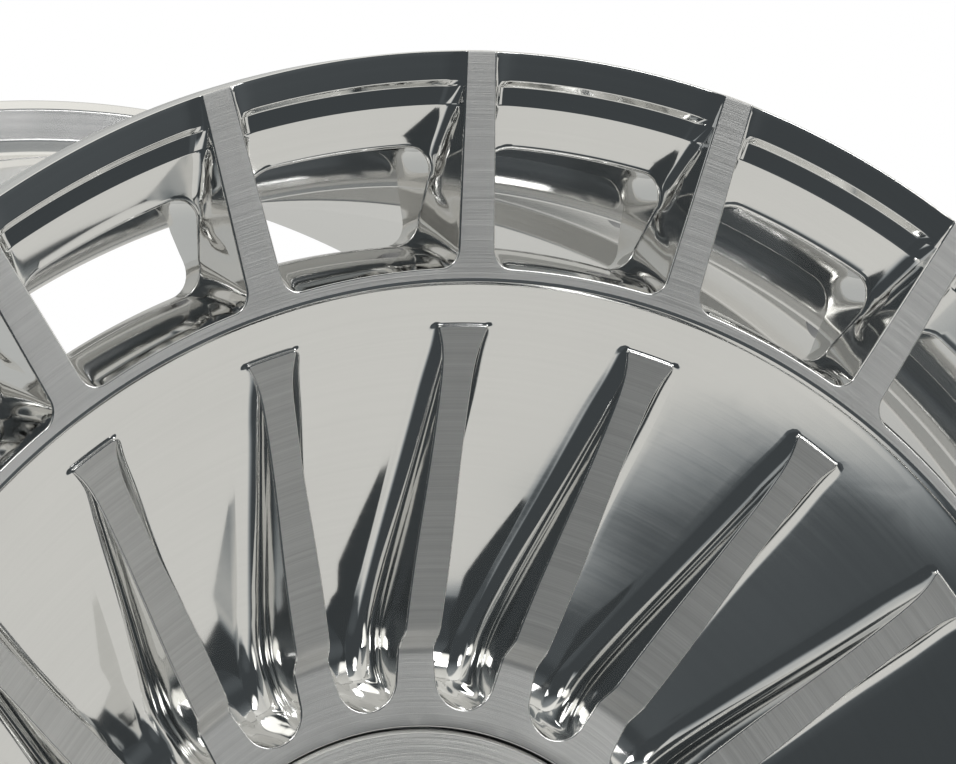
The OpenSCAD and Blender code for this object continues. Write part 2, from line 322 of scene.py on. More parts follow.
def rubber(name):
    mat, g = material(name, 0.0, Specular_IOR_Level=0.35)
    co = g.new("ShaderNodeTexCoord").outputs["Object"]
    a = g.noise(co, 260.0, 4.0, 0.6)
    g.link(g.span(a, 0.55, 0.78, 0.3, 0.7), g.bsdf.inputs["Roughness"])
    g.link(g.ramp(a, [(0.3, (0.012, 0.012, 0.013)), (0.7, (0.03, 0.03, 0.032))]), g.bsdf.inputs["Base Color"])
    bump(g, a, 0.25, 0.0003)
    return mat


def plastic(name, tone):
    mat, g = material(name, 0.0)
    co = g.new("ShaderNodeTexCoord").outputs["Object"]
    a = g.noise(co, 400.0, 3.0, 0.6)
    g.link(g.span(a, 0.32, 0.48, 0.3, 0.7), g.bsdf.inputs["Roughness"])
    g.link(g.ramp(a, [(0.3, tuple(c * 0.9 for c in tone)), (0.7, tone)]), g.bsdf.inputs["Base Color"])
    bump(g, a, 0.1, 0.0002)
    return mat


M_POL = polished_aluminium("mat_face_polished", 0.045, 0.10)
M_TURN = turned_aluminium("mat_face_turned")
# Copy of the turned finish for the fin tops and the hub face: its raised tone is painted light that brightens them, and
# its higher roughness is the finish itself
M_FIN_PAINTED_LIGHTER = turned_aluminium("mat_fin_turned_painted_lighter", tone=(0.90, 0.895, 0.88), lo=0.54, hi=0.68)
M_CAP = turned_aluminium("mat_cap_brushed", tone=(0.90, 0.89, 0.865), lo=0.40, hi=0.52, lines=6500.0, strength=0.30)
M_BARREL = polished_aluminium("mat_barrel_polished", 0.17, 0.27, (0.84, 0.835, 0.82))
M_BACK = turned_aluminium("mat_machined_back", tone=(0.74, 0.74, 0.735), lo=0.26, hi=0.38, lines=2600.0, strength=0.16)
M_BOLT = plain_metal("mat_bolt_steel", (0.33, 0.33, 0.34), 0.22, 0.38, 220.0, 0.10)
M_INSERT = plain_metal("mat_insert_steel", (0.42, 0.41, 0.38), 0.25, 0.42, 240.0, 0.10)
M_VALVE = plain_metal("mat_valve_metal", (0.68, 0.68, 0.69), 0.12, 0.24, 300.0, 0.06)
M_BRASS = plain_metal("mat_valve_brass", (0.72, 0.52, 0.24), 0.18, 0.32, 300.0, 0.08)
M_RUBBER = rubber("mat_seal_rubber")
M_PLASTIC = plastic("mat_gasket_plastic", (0.82, 0.80, 0.72))

# ------------------------------------------------------------------ the forged face
Y_HUB = -94.0
Y_PAD = -35.0
Y_LUG = -52.0
Y_JOINT = -98.5

floor_y = spline([(85.5, -91.5), (88, -86.6), (91.5, -82.4), (96, -79.8), (101, -78.9), (107, -79.9), (114.3, -83.1),
                  (124.3, -88.4), (136.7, -95.2), (149.1, -102.0), (161.5, -109.0), (174, -116.25), (180.8, -120.3), (190.2, -126.1)])
fin_half = spline([(92.9, 5.66), (99, 5.2), (112, 5.15), (124, 5.1), (137, 4.75), (149, 4.42), (162, 4.38), (170, 4.62), (176, 5.55), (181, 7.45)])
R_TIP = 180.8
R_RING = 190.2


def top_y(r):
    """Turned surface of the hub face, the step at the fins' roots and the fins."""
    r = np.asarray(r, float)
    t = np.clip((r - 99.4) / (105.4 - 99.4), 0, 1)
    y0, y1, s1 = Y_HUB, -98.3 - 0.2 * 0.305, -0.305 * 6.0
    ramp = y0 * (2 * t ** 3 - 3 * t ** 2 + 1) + y1 * (-2 * t ** 3 + 3 * t ** 2) + s1 * (t ** 3 - t ** 2)
    return np.where(r > 105.4, -98.3 - (r - 105.2) * 0.305, ramp)


def rib_y(r):
    return -132 + (RIM - r) * 0.071


def cove(depth, rc, edge, draft, nst=2, ncv=7):
    """(inset, height) pairs down a wall, from just under its rounded top edge to the end of the cove at its foot."""
    top = max(depth - edge, 0.02)
    hc = min(top, rc)
    hs = [top + (hc - top) * j / nst for j in range(nst)]
    th0 = math.asin((rc - hc) / rc)
    hs += [rc * (1 - math.sin(th0 + (math.pi / 2 - th0) * j / ncv)) for j in range(ncv + 1)]

    def c(h):
        return rc - math.sqrt(max(rc * rc - (rc - h) ** 2, 0)) if h < rc else 0.0
    c0 = c(top)
    return [(c(h) - c0 + draft * (top - h), h) for h in hs]


class Half:
    """One half pitch, as points (u along the rib's axis, v across it, y), from the rib's middle to the gap's middle."""

    def __init__(self):
        self.v, self.f, self.m = [], [], []

    def grid(self, rows, mats):
        """rows is a list of equal lists of points. mats is one index per column gap."""
        base = len(self.v)
        w = len(rows[0])
        for row in rows:
            self.v.extend([tuple(map(float, p)) for p in row])
        for i in range(len(rows) - 1):
            for j in range(w - 1):
                a = base + i * w + j
                self.f.append((a, a + 1, a + w + 1, a + w))
                self.m.append(mats[j] if isinstance(mats, (list, tuple)) else mats)

    def stitch(self, a, b, mat):
        """Joins two lines of points that run the same way, whatever their counts."""
        base = len(self.v)
        self.v.extend([tuple(map(float, p)) for p in a])
        self.v.extend([tuple(map(float, p)) for p in b])
        pa = [math.atan2(p[1], p[0]) for p in a]
        pb = [math.atan2(p[1], p[0]) for p in b]
        i = j = 0
        s = 1 if pa[-1] > pa[0] else -1
        while i < len(a) - 1 or j < len(b) - 1:
            step_a = j == len(b) - 1 or (i < len(a) - 1 and s * pa[i + 1] <= s * pb[j + 1])
            if step_a:
                self.f.append((base + i, base + i + 1, base + len(a) + j))
                i += 1
            else:
                self.f.append((base + i, base + len(a) + j + 1, base + len(a) + j))
                j += 1
            self.m.append(mat)


def polar(r, phi):
    return np.array([r * math.cos(phi), r * math.sin(phi)])


def at(p, y):
    return (p[0], p[1], float(y))


half = Half()

# fins and the polished gaps between them
w0 = float(fin_half(92.95))
uc = polar(94.0, H)
ur = uc[1] - w0
outline, normals, kinds = [], [], []
NU = 11
for i in range(NU):
    th = (math.pi + H) + (1.5 * math.pi - (math.pi + H)) * i / NU
    d = np.array([math.cos(th), math.sin(th)])
    outline.append(uc + d * ur)
    normals.append(-d)
    kinds.append("u")
side_s = [92.95, 94.9, 97.0, 98.6, 99.8, 100.7, 101.5, 102.3, 103.1, 104.0, 105.2, 107, 110, 114, 118.5, 123, 128, 133, 138, 143, 148, 153,
          158, 162, 166, 169.5, 172.5, 174.8, 176.6, 178.1, 179.2]


def side_point(s):
    return np.array([s, float(fin_half(s))])


for s in side_s:
    dw = float(fin_half(s + 0.05) - fin_half(s - 0.05)) / 0.1
    n = np.array([-dw, 1.0])
    outline.append(side_point(s))
    normals.append(n / np.hypot(*n))
    kinds.append("s")
# tip corner
pc = side_point(180.64)
t1 = side_point(179.6) - pc
t1 /= np.hypot(*t1)
t2 = np.array([0.03, -1.0])
t2 /= np.hypot(*t2)
hb = math.acos(float(np.clip(t1 @ t2, -1, 1))) / 2
rho = 0.75
cc = pc + (t1 + t2) / np.hypot(*(t1 + t2)) * rho / math.sin(hb)
q0, q1 = pc + t1 * rho / math.tan(hb), pc + t2 * rho / math.tan(hb)
a0, a1 = math.atan2(*(q0 - cc)[::-1]), math.atan2(*(q1 - cc)[::-1])
da = (a1 - a0 + math.pi) % (2 * math.pi) - math.pi
NC = 5
for i in range(NC + 1):
    th = a0 + da * i / NC
    d = np.array([math.cos(th), math.sin(th)])
    outline.append(cc + d * rho)
    normals.append(d)
    kinds.append("c")
v_tip = float(outline[-1][1])
NT = 7
for i in range(1, NT + 1):
    v = v_tip * (1 - i / NT)
    p = np.array([math.sqrt(R_TIP ** 2 - v * v), v])
    k = (1 - i / NT) ** 2
    n = p / np.hypot(*p) * (1 - k) + normals[NU + len(side_s) + NC] * k
    outline.append(p)
    normals.append(n / np.hypot(*n))
    kinds.append("t")

E_TOP = 0.42
MF = 6
rows = []
n_side = len(side_s)
n_circ = NC + NT
for i, (p, n, kind) in enumerate(zip(outline, normals, kinds)):
    # target on the hub side or on the fin's middle line
    if kind == "u":
        if i <= 8:
            g0 = polar(81.1, H * (1 - i / 8))
        else:
            g0 = np.array([81.1 + (92.95 - 81.1) * (i - 8) / (NU - 8), 0.0])
    elif kind == "s":
        s = p[0]
        x = min(max((s - 150) / 30, 0), 1)
        g0 = np.array([s - 6.6 * x * x * (3 - 2 * x), 0.0])
    elif kind == "c":
        j = i - NU - n_side
        g0 = np.array([172.7 + (R_TIP - 0.75 * v_tip - 172.7) * (j / NC), 0.0])
    else:
        g0 = np.array([R_TIP - 0.75 * p[1], 0.0])
    rp = math.hypot(*p)
    inner = p - n * E_TOP
    if kind == "t" and i == len(outline) - 1:
        g0 = inner
    row = []
    for t in (0.0, 0.5, 1.0):
        q = g0 + (inner - g0) * t
        row.append(at(q, top_y(math.hypot(*q))))
    for a in (30, 60):
        a = math.radians(a)
        q = p - n * E_TOP * (1 - math.sin(a))
        row.append(at(q, top_y(math.hypot(*q)) + E_TOP * (1 - math.cos(a))))
    depth = float(floor_y(rp)) - float(top_y(rp))
    rc = 6.0
    if kind == "c":
        x = (i - NU - n_side) / NC
        rc = 6.0 + (0.75 - 6.0) * x * x * (3 - 2 * x)
    elif kind == "t":
        rc = 0.75
    for e, h in cove(depth, rc, E_TOP, math.tan(math.radians(3))):
        q = p + n * e
        row.append(at(q, float(floor_y(math.hypot(*q))) - h))
    foot = np.array(row[-1][:2])
    rf = math.hypot(*foot)
    if kind == "u":
        tgt = ("line", rf if i == 0 else None)
    row_foot = foot
    rows.append(row)
    # remember the foot for the floor's targets
feet = [np.array(r[-1][:2]) for r in rows]
r_first = math.hypot(*feet[0])
r_tan = math.hypot(*feet[NU])
for i, kind in enumerate(kinds):
    foot = feet[i]
    rf = math.hypot(*foot)
    if kind == "u":
        g1 = polar(r_first + (r_tan - r_first) * i / NU, H)
    elif kind == "s":
        x = min(max((side_s[i - NU] - 150) / 29.2, 0), 1)
        g1 = polar(rf + 8.2 * x * x * (3 - 2 * x), H)
    else:
        j = i - NU - n_side
        g1 = polar(R_RING, H * (1 - j / n_circ))
    for m in range(1, MF + 1):
        q = foot + (g1 - foot) * m / MF
        if kind in "ct" and m == MF:
            q = g1
        rows[i].append(at(q, floor_y(math.hypot(*q))))
nlev = len(cove(10, 6.0, E_TOP, 0.05))
# the two triangles of floor between the last side row and the ring's corner are closed by the grid itself
# index 3 gives the fin tops the turned finish with the raised tone, which is painted light
half.grid(rows, [3, 3] + [0] * (2 + nlev + MF))
ring_phi = [H * (1 - j / n_circ) for j in range(n_circ + 1)]

# ring: a fine shadow line, then the turned ring
bands = rounded([(R_RING, -126.1), (190.75, -126.5, 0.25), (190.85, -127.2, 0.25), (191.45, float(rib_y(191.45)), 0.4), (192.3, float(rib_y(192.3)))], n=3)
rows = [[at(polar(r, ph), y) for ph in ring_phi] for r, y in bands]
half.grid(rows, 0)

# gaps between the ribs
W_IN, W_OUT = 5.1, 4.2


def rib_half(r):
    return W_IN + (W_OUT - W_IN) * min(max((r - 198.8) / (RIM - 198.8), 0), 1)


lip = rounded([(210, -109.0), (235.4, -126.9, 1.3), (240.0, -128.2, 0.8), (241.3, -130.3, 0.8), (250, -131.72)], n=4)
lip_r = np.array([p[0] for p in lip])
lip_h = np.array([p[1] for p in lip])


def lip_y(r):
    return float(np.interp(r, lip_r, lip_h))


def tray_y(p):
    """The lip between the ribs at a point: its steps turn with a 5 mm corner where they meet a rib."""
    r = math.hypot(p[0], p[1])
    x = max(0.0, p[1] - rib_half(r))
    d = 0.0
    if x < 5.0:
        d = 5.0 - math.sqrt(25.0 - (5.0 - x) ** 2)
    return lip_y(r + d)


E_RIB = 0.45
R_C0 = 195.0
c0c = 5.0
vc = rib_half(200) + c0c
c0_centre = np.array([math.sqrt((R_C0 + c0c) ** 2 - vc ** 2), vc])
phi_c0 = math.atan2(c0_centre[1], c0_centre[0])
R_W0, R_W1, W_BACK, WC = 201.0, 225.2, 6.6, 7.5
w_in_c = np.array([math.sqrt((R_W0 + WC) ** 2 - (W_BACK + WC) ** 2), W_BACK + WC])
w_out_c = np.array([math.sqrt((R_W1 - WC) ** 2 - (W_BACK + WC) ** 2), W_BACK + WC])
phi_w0, phi_w1 = math.atan2(w_in_c[1], w_in_c[0]), math.atan2(w_out_c[1], w_out_c[0])
NA, NK, NS, NB, NO = 6, 8, 5, 8, 6

c0, n0, c1, n1, tag = [], [], [], [], []
for i in range(NA):
    t = i / NA
    c0.append(polar(R_C0, H + (phi_c0 - H) * t)); n0.append(c0[-1] / R_C0)
    c1.append(polar(R_W0, H + (phi_w0 - H) * t)); n1.append(c1[-1] / R_W0)
    tag.append("a")
for i in range(NK):
    t = i / NK
    b = math.pi + phi_c0 + (1.5 * math.pi - math.pi - phi_c0) * t
    d = np.array([math.cos(b), math.sin(b)])
    c0.append(c0_centre + d * c0c); n0.append(-d)
    b = math.pi + phi_w0 + (1.5 * math.pi - math.pi - phi_w0) * t
    d = np.array([math.cos(b), math.sin(b)])
    c1.append(w_in_c + d * WC); n1.append(-d)
    tag.append("k")
for i in range(NS + 1):
    t = i / NS
    s = c0_centre[0] + (w_out_c[0] - c0_centre[0]) * t
    c0.append(np.array([s, rib_half(s)])); n0.append(np.array([0.018, 1.0]))
    s = w_in_c[0] + (w_out_c[0] - w_in_c[0]) * t
    c1.append(np.array([s, W_BACK])); n1.append(np.array([0.0, 1.0]))
    tag.append("s")
iB = len(c0) - 1
O_W = 1.25
R_B2 = R_W1 + O_W
for i in range(1, NB + 1):
    t = i / NB
    r_end = R_B2
    s_end = math.sqrt(r_end ** 2 - rib_half(r_end) ** 2)
    s = w_out_c[0] + (s_end - w_out_c[0]) * t
    c0.append(np.array([s, rib_half(s)])); n0.append(np.array([0.018, 1.0]))
    b = -math.pi / 2 + (phi_w1 + math.pi / 2) * t
    d = np.array([math.cos(b), math.sin(b)])
    c1.append(w_out_c + d * WC); n1.append(-d)
    tag.append("b")
iC = len(c1) - 1
for i in range(1, NO + 1):
    t = i / NO
    c1.append(polar(R_W1, phi_w1 + (H - phi_w1) * t)); n1.append(-c1[-1] / R_W1)
off, yw = [], []
for i in range(len(c1)):
    if i <= NA + NK:
        off.append(0.3); yw.append(-110.0)
    elif i <= iB:
        t = (i - NA - NK) / NS
        off.append(0.3 + (0.55 - 0.3) * t)
        yw.append(-110.0 + t * (tray_y((217.0, 6.05)) + 110.0))
    elif i <= iC:
        t = (i - iB) / NB
        off.append(0.55 + (O_W - 0.55) * min(1, 1.6 * t))
        yw.append(None)
    else:
        off.append(O_W); yw.append(None)
c1o = [c - n * o for c, n, o in zip(c1, n1, off)]
for i in range(len(c1)):
    if yw[i] is None:
        yw[i] = tray_y(c1o[i])

MB = 6
LEV = cove(10, 4.0, E_RIB, 0.03)
nl = len(LEV)


def shape_a(i):
    """Sloping wall from the ring or the rib down to a window's edge."""
    pts = []
    r0 = math.hypot(*c0[i])
    y0 = float(rib_y(r0)) + E_RIB
    total = nl + MB - 1
    for k in range(nl + MB):
        t = k / total
        x = min(max((i - NA) / NK, 0), 1)
        g = t ** (0.72 + 0.28 * x)
        q = c0[i] + (c1o[i] - c0[i]) * g
        pts.append(np.array(at(q, y0 + (yw[i] - y0) * t)))
    return pts


def shape_b(i):
    """Wall of a rib with a cove onto the stepped lip."""
    pts = []
    r0 = math.hypot(*c0[i])
    d = c1o[i] - c0[i]
    ln = np.hypot(*d)
    d = d / ln
    depth = tray_y(c0[i]) - float(rib_y(r0))
    lev = cove(depth, 3.0, E_RIB, math.tan(math.radians(3)))
    foot = lev[-1][0]
    k = min(1.0, 0.85 * ln / foot)
    for e, h in lev:
        q = c0[i] + d * e * k
        pts.append(np.array(at(q, tray_y(q) - h)))
    f = np.array(pts[-1][:2])
    for m in range(1, MB + 1):
        q = f + (c1o[i] - f) * (m / MB) ** 1.5
        pts.append(np.array(at(q, tray_y(q))))
    return pts


rows = []
for i in range(iC + 1):
    r0 = math.hypot(*c0[i])
    if tag[i] == "a" or (tag[i] == "k" and i - NA <= n_circ - NA):
        g0 = polar(192.3, H * (1 - i / n_circ)) if i <= n_circ else None
    else:
        g0 = None
    if g0 is None:
        k = (i - n_circ) / (NA + NK + 1 - n_circ)
        s = 192.3 + (c0_centre[0] + 1.5 - 192.3) * min(1, k) if tag[i] == "k" else c0[i][0]
        if tag[i] == "s":
            s = c0[i][0] + 0.3
        g0 = np.array([s, 0.0])
    inner = c0[i] - n0[i] * E_RIB
    row = []
    for t in (0.0, 0.5, 1.0):
        q = g0 + (inner - g0) * t
        row.append(np.array(at(q, rib_y(math.hypot(*q)))))
    for a in (30, 60):
        a = math.radians(a)
        q = c0[i] - n0[i] * E_RIB * (1 - math.sin(a))
        row.append(np.array(at(q, float(rib_y(math.hypot(*q))) + E_RIB * (1 - math.cos(a)))))
    if i <= iB - 3:
        body = shape_a(i)
    elif i <= iB:
        wgt = (i - (iB - 3)) / 3
        wgt = wgt * wgt * (3 - 2 * wgt)
        body = [a * (1 - wgt) + b * wgt for a, b in zip(shape_a(i), shape_b(i))]
    else:
        body = shape_b(i)
    rows.append(row + body)
half.grid(rows, [1, 1] + [0] * (len(rows[0]) - 3))
last_row = rows[-1]

# lip between the ribs, out to the rim's edge
radii = [R_B2, 228.2, 230.6, 233.0, 234.6]
radii += [float(r) for r in lip_r if 234.9 < r < 242.9]
radii += [244.2, 245.8, 247.2, 248.05]
rows = []
for r in radii:
    w = rib_half(r)
    depth = tray_y((math.sqrt(r * r - w * w), w)) - float(rib_y(r))
    row = []
    for v in (0.0, 0.5 * (w - E_RIB), w - E_RIB):
        q = np.array([math.sqrt(r * r - v * v), v])
        row.append(at(q, rib_y(r)))
    ed = min(E_RIB, 0.45 * depth)
    for a in (30, 60):
        a = math.radians(a)
        v = w - E_RIB * (1 - math.sin(a))
        row.append(at(np.array([math.sqrt(r * r - v * v), v]), float(rib_y(r)) + ed * (1 - math.cos(a))))
    for e, h in cove(depth, 3.0, ed, math.tan(math.radians(3))):
        v = w + e
        q = np.array([math.sqrt(r * r - v * v), v])
        row.append(at(q, tray_y(q) - h))
    ph0 = math.atan2(row[-1][1], row[-1][0])
    for m in range(1, MB + 1):
        q = polar(r, ph0 + (phi_w1 - ph0) * (m / MB) ** 1.5)
        row.append(at(q, tray_y(q)))
    for m in range(1, NO + 1):
        row.append(at(polar(r, phi_w1 + (H - phi_w1) * m / NO), lip_y(r)))
    rows.append(row)
# first row has to be the last row of the window's corner block
rows[0] = [tuple(p) for p in last_row] + [at(c1o[iC + m], yw[iC + m]) for m in range(1, NO + 1)]
edge = rows[-1]
for dr, dy in ((0.18, 0.04), (0.33, 0.14), (0.42, 0.28), (0.45, 0.5)):
    row = []
    for p in edge:
        ph = math.atan2(p[1], p[0])
        row.append(at(polar(248.05 + dr, ph), p[2] + dy))
    rows.append(row)
half.grid(rows, [1, 1] + [0] * (len(rows[0]) - 3))
front_edge = rows[-1]


# walls of the windows
def back_y(r):
    return float(np.interp(r, [198.4, 210, 216, 231], [-104.6, -100.2, -98.5, -98.5]))


rows = []
for i in range(len(c1)):
    o = off[i]
    yb = back_y(math.hypot(*c1[i]))
    row = [at(c1o[i], yw[i])]
    for a in (25, 50, 70, 90):
        a = math.radians(a)
        row.append(at(c1[i] - n1[i] * o * (1 - math.sin(a)), yw[i] + o * (1 - math.cos(a))))
    ya = yw[i] + o
    row.append(at(c1[i], ya + (yb - 0.4 - ya) * 0.5))
    row.append(at(c1[i], yb - 0.4))
    row.append(at(c1[i] - n1[i] * 0.12, yb - 0.12))
    row.append(at(c1[i] - n1[i] * 0.4, back_y(math.hypot(*(c1[i] - n1[i] * 0.4)))))
    # back of the ribs
    ib0, ib1 = NA + 3, NA + NK
    if i <= ib0:
        g = polar(198.4, H * (1 - i / ib0))
    elif i <= ib1:
        g = np.array([198.4 + (w_in_c[0] - 198.4) * (i - ib0) / (ib1 - ib0), 0.0])
    elif i <= iB:
        g = np.array([c1[i][0], 0.0])
    elif i <= iB + 5:
        g = np.array([w_out_c[0] + (230.1 - w_out_c[0]) * (i - iB) / 5, 0.0])
    else:
        g = polar(230.1, H * (i - iB - 5) / (len(c1) - 1 - iB - 5))
    e = np.array(row[-1][:2])
    for t in (0.5, 1.0):
        q = e + (g - e) * t
        row.append(at(q, back_y(math.hypot(*q))))
    rows.append(row)
half.grid(rows, [0] * 8 + [2, 2])
back_in = [r[-1] for r in rows[:NA + 4]]
back_out = [r[-1] for r in rows[iB + 5:]]

# back of the face, out over the bead seat to the flange
phis = [math.atan2(p[1], p[0]) for p in back_out]
prof = rounded([(230.1, -98.5), (230.5, -98.9, 0.3), (231.8, -113.5, 2.0), (233.4, -116.9, 2.0), (237.4, -118.5, 2.0),
                (246.1, -118.5, 1.5), (248.5, -121.1, 1.5), (248.5, -126.0)], n=3)
half.grid([[at(polar(r, ph), y) for ph in phis] for r, y in prof], 2)
half.stitch([at(polar(248.5, ph), -126.0) for ph in phis], front_edge, 0)
# back of the face, in to the mounting pad
phis = [math.atan2(p[1], p[0]) for p in back_in]
prof = rounded([(198.4, -104.6), (193, -106.5, 3), (187, -106.8, 5), (174, -105, 20), (149, -91.8, 25), (124, -78.2, 25), (107, -68.6, 18),
                (97, -60, 12), (86, -45, 6), (82.5, -36.5, 0.6), (81, -35)], n=4)
half.grid([[at(polar(r, ph), y) for ph in phis] for r, y in prof], 2)
n_pad = len(phis) - 1
# cap recess and the wall of the lug recess
prof = rounded([(81.1, -94.0), (80.6, -93.5, 0.3), (80.6, -87.8, 0.35), (76.0, -87.8, 0.4), (76.0, -52.0)], n=3)
hub_phi = [H * (1 - i / 8) for i in range(9)]
half.grid([[at(polar(r, ph), y) for ph in hub_phi] for r, y in prof], [2] * 8)

# all the half pitches
hv = np.array(half.v)
hf = half.f
verts, faces, mats = [], [], []
for k in range(N):
    a = 2 * math.pi * k / N
    for s in (1, -1):
        u, v = hv[:, 0], hv[:, 1] * s
        x = u * math.sin(a) + v * math.cos(a)
        z = u * math.cos(a) - v * math.sin(a)
        base = len(verts)
        verts.extend(np.stack([x, hv[:, 2], z], 1) * MM)
        for f in hf:
            f = f if s == 1 else f[::-1]
            faces.append(tuple(i + base for i in f))
        mats.extend(half.m)


def circle(r, n, y, phase=0.0, centre=(0.0, 0.0)):
    return [(centre[0] + r * math.sin(2 * math.pi * i / n + phase), y, centre[1] + r * math.cos(2 * math.pi * i / n + phase)) for i in range(n)]


def plate(outer, inner, holes, y):
    """Flat ring at height y with round holes, as (verts in metres, faces)."""
    pts, edges, owner = [], [], []
    for li, loop in enumerate([outer, inner] + holes):
        b = len(pts)
        n = len(loop)
        pts += [Vector((p[0], p[2])) for p in loop]
        edges += [(b + i, b + (i + 1) % n) for i in range(n)]
        owner += [li] * n
    res = geometry.delaunay_2d_cdt(pts, edges, [], 0, 1e-5)
    vo, fo, orig = res[0], res[2], res[3]
    own = [owner[o[0]] if o else -1 for o in orig]
    keep = []
    for f in fo:
        s = {own[i] for i in f}
        if len(s) == 1 and next(iter(s)) >= 1:
            continue
        keep.append(tuple(f))
    return [(p[0] * MM, y * MM, p[1] * MM) for p in vo], keep


def join(vs, fs, mat):
    base = len(verts)
    verts.extend(vs)
    faces.extend([tuple(i + base for i in f) for f in fs])
    mats.extend([mat] * len(fs))


lug_at = [(60 * math.sin(2 * math.pi * i / 5), 60 * math.cos(2 * math.pi * i / 5)) for i in range(5)]
vs, fs = plate(circle(76.0, 8 * 2 * N, -52.0), circle(36.8, 168, -52.0), [circle(12.9, 64, -52, 0, c) for c in lug_at], -52.0)
join(vs, fs, 2)
vs, fs = plate(circle(81.0, n_pad * 2 * N, -35.0), circle(37.3, 168, -35.0), [circle(8.15, 64, -35, 0, c) for c in lug_at], -35.0)
join(vs, fs, 2)
vs, fs = turn(rounded([(37.3, -35), (36.3, -36, 0.3), (36.3, -51.5, 0.2), (36.8, -52)], n=2), 168, closed=False)
join(vs, fs, 2)
for c in lug_at:
    vs, fs = turn([(12.9, -52), (12.62, -51.88), (12.5, -51.6), (12.5, -41.3), (12.4, -41.05), (12.2, -41), (7.75, -41), (7.75, -35.4), (7.87, -35.12), (8.15, -35)],
                  64, closed=False, centre=(c[0], 0, c[1]))
    join(vs, fs, 2)

face = add_object("forged_face_visual", verts, faces, mats, [M_POL, M_TURN, M_BACK, M_FIN_PAINTED_LIGHTER])
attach(face, "wheel")
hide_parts("forged_face")

# ------------------------------------------------------------------ the rear of the rim
prof = rounded([(216.2, -93.6, 2.5), (217.8, -96.2, 4), (221.0, -98.0, 8), (225.6, -98.5, 12), (230.5, -98.5, 0.4), (231.9, -96, 1.5), (232, -94, 1.5), (231, -90.5, 3), (230.4, -86, 3), (224.5, -76, 3),
                (224.5, -54, 3), (218.2, -46, 4), (218.2, -8, 4), (229.6, 8, 5), (229.6, 92, 3), (231.7, 95.5, 2), (232.1, 98, 2),
                (231.2, 100.5, 2), (230.6, 102, 2), (231.8, 117.8, 2.5), (233.4, 121.2, 2.5), (237.4, 122.8, 2.5), (246.1, 122.8, 1.4),
                (248.5, 125.2, 1.4), (248.5, 130, 1.2), (246.5, 132, 1.2), (236, 131.4, 4), (229, 128, 5), (226.2, 123, 5), (225.5, 117, 4),
                (225.5, 7.5, 5), (214.2, -8.5, 4), (214.2, -45.5, 4), (220, -53, 3), (220, -75.5, 3), (227, -83, 3), (227, -91.5, 0.9),
                (216.2, -91.5, 2.6)], n=6, closed=True)
vs, fs = turn(prof, 504)
barrel = add_object("inner_barrel_visual", vs, fs, None, [M_BARREL])


def cutter(verts, faces):
    mesh = bpy.data.meshes.new("cutter")
    mesh.from_pydata([tuple(v) for v in verts], [], faces)
    bm = bmesh.new()
    bm.from_mesh(mesh)
    bmesh.ops.remove_doubles(bm, verts=bm.verts, dist=2e-6)
    bmesh.ops.holes_fill(bm, edges=bm.edges)
    bmesh.ops.recalc_face_normals(bm, faces=bm.faces)
    bm.to_mesh(mesh)
    bm.free()
    obj = bpy.data.objects.new("cutter", mesh)
    bpy.context.scene.collection.objects.link(obj)
    return obj


def drill(r, z0, z1, n=64):
    v, f = turn([(r, z0), (r, z1)], n, closed=False, axis="z", centre=(0, -64, 0))
    return cutter(v, f)


def cut(obj, cutters):
    for c in cutters:
        m = obj.modifiers.new("cut", "BOOLEAN")
        m.operation = "DIFFERENCE"
        m.solver = "EXACT"
        m.object = c
    dg = bpy.context.evaluated_depsgraph_get()
    mesh = bpy.data.meshes.new_from_object(obj.evaluated_get(dg))
    obj.modifiers.clear()
    old = obj.data
    obj.data = mesh
    bpy.data.meshes.remove(old)
    for c in cutters:
        bpy.data.objects.remove(c)
    weighted_normals(mesh)


cut(barrel, [drill(4.15, -230, -214), drill(8.6, -232, -224.2), drill(8.6, -220.2, -214)])
barrel.data.materials.clear()
barrel.data.materials.append(M_BARREL)
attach(barrel, "wheel")
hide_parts("inner_barrel")

# ------------------------------------------------------------------ centre cap
prof = rounded([(0.6, -93.9), (79.1, -93.9, 0.35), (80.0, -93.0, 0.35), (80.0, -88.1, 0.3), (75.6, -88.1, 0.25), (75.6, -84.3, 0.1), (73.8, -84.3, 0.1),
                (73.8, -81.7, 0.1), (75.6, -81.7, 0.1), (75.6, -79.1, 0.1), (73.9, -79.1, 0.1), (73.9, -76.9, 0.1), (75.6, -76.9, 0.1),
                (75.6, -74.6, 0.4), (75.0, -74.0, 0.4), (71.5, -74.0, 0.4), (71.0, -74.5, 0.4), (71.0, -86.7, 0.6), (69.6, -88.1, 0.6), (30, -88.1, 0.5),
                (28, -86.5, 0.5), (24, -86.5, 0.5), (22, -88.1, 0.5), (0.6, -88.1)], n=3)
vs, fs = turn(prof, 336, closed=False)
b = Batch()
b.add(vs, fs)
for y in (-93.9, -88.1):
    ring = [(x * MM, yy * MM, z * MM) for x, yy, z in circle(0.6, 336, y)]
    b.add(ring, [tuple(range(336))])
cap = add_object("centre_cap_visual", b.v, b.f, None, [M_CAP])
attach(cap, "cap")
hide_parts("centre_cap")

# ------------------------------------------------------------------ hardware
def torus(r, cs, y, n, k, a0=0.0, a1=2 * math.pi):
    verts, faces = [], []
    full = abs(a1 - a0 - 2 * math.pi) < 1e-6
    cnt = n if full else n + 1
    for i in range(cnt):
        a = a0 + (a1 - a0) * i / n
        for j in range(k):
            t = 2 * math.pi * j / k
            rr = r + cs * math.cos(t)
            verts.append((rr * math.sin(a) * MM, (y + cs * math.sin(t)) * MM, rr * math.cos(a) * MM))
    for i in range(n):
        q = (i + 1) % cnt
        for j in range(k):
            p = (j + 1) % k
            faces.append((i * k + j, i * k + p, q * k + p, q * k + j))
    if not full:
        faces.append(tuple(range(k)))
        faces.append(tuple((cnt - 1) * k + j for j in range(k)))
    return verts, faces


def piece(name, node, body, mat, verts, faces, angle=None):
    o = add_object(name, verts, faces, None, [mat], angle=angle)
    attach(o, body)
    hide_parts(node)
    return o


